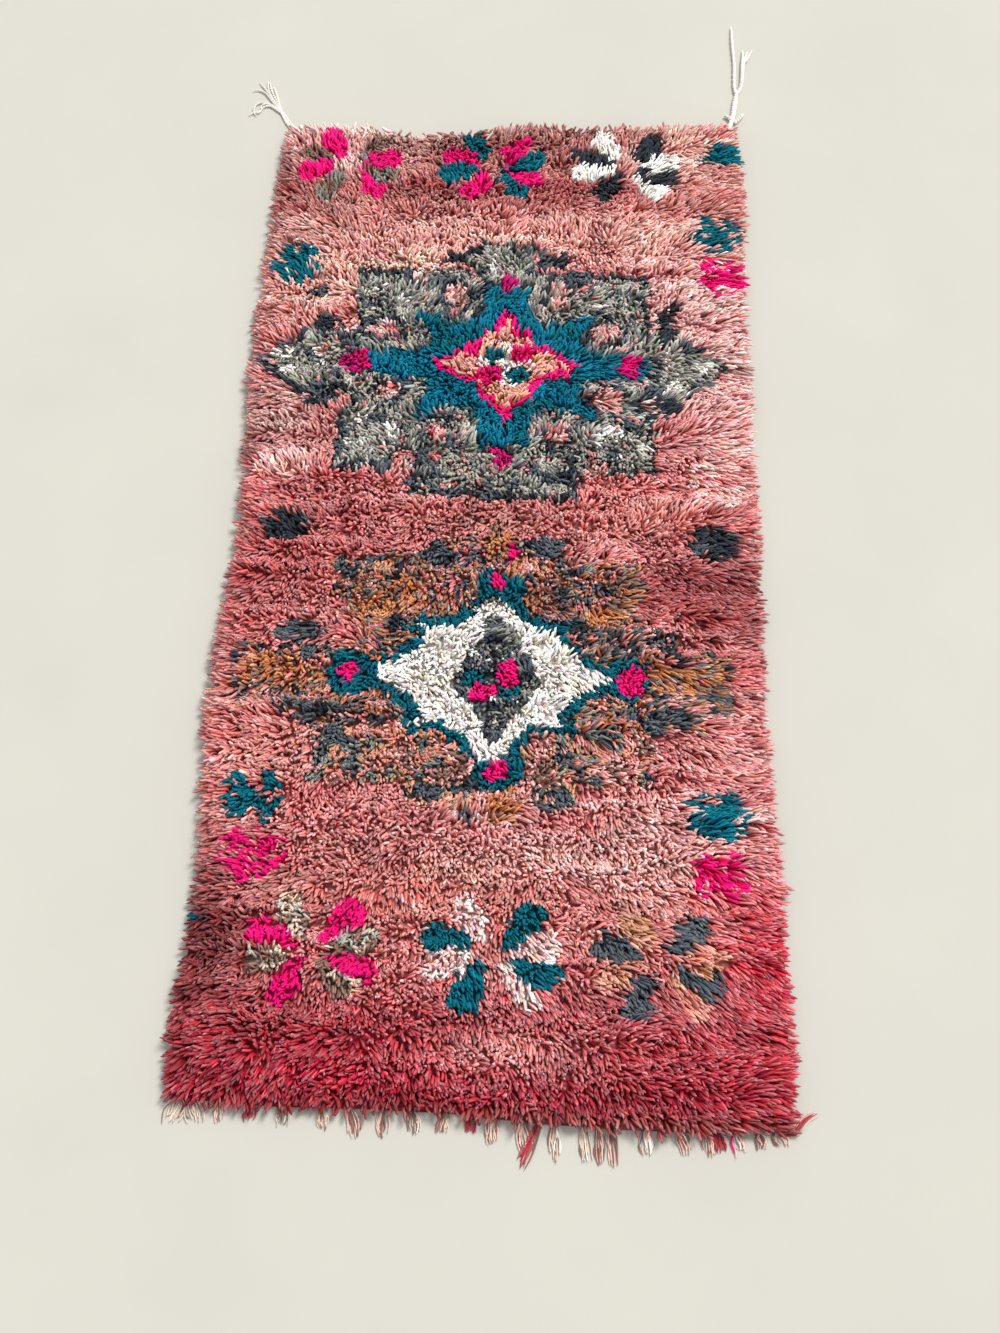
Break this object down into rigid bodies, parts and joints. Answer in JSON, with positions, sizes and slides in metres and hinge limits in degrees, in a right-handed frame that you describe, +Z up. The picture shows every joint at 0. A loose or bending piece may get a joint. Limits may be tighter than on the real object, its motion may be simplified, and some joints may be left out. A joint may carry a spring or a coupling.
{
  "type": "boujad rug",
  "caption": "Hand-knotted shag wool rug lying flat, with a faded rose field, stepped medallions, a short warp fringe and corner tassels.",
  "frame": {"origin": "on the floor under the middle of the rug's whole box, fringe and tassels included", "axes": "+Y along the rug's length, from the fringed end to the end with the corner tassels; +X to the right seen from above with +Y up the page; +Z up out of the pile"},
  "size_m": [1.1508, 2.5054, 0.0318],
  "materials": {
    "wool_pile": "matte wool locks, rose field with teal, pink, grey and cream motifs",
    "warp_yarn": "matte spun yarn, dyed pale rose by the pile",
    "white_yarn": "matte two-ply yarn, undyed"
  },
  "bodies": {
    "root": {"pile_rug": "wool_pile", "near_fringe": "warp_yarn", "far_left_tassel": "white_yarn", "far_right_tassel": "white_yarn"}
  },
  "joints": []
}
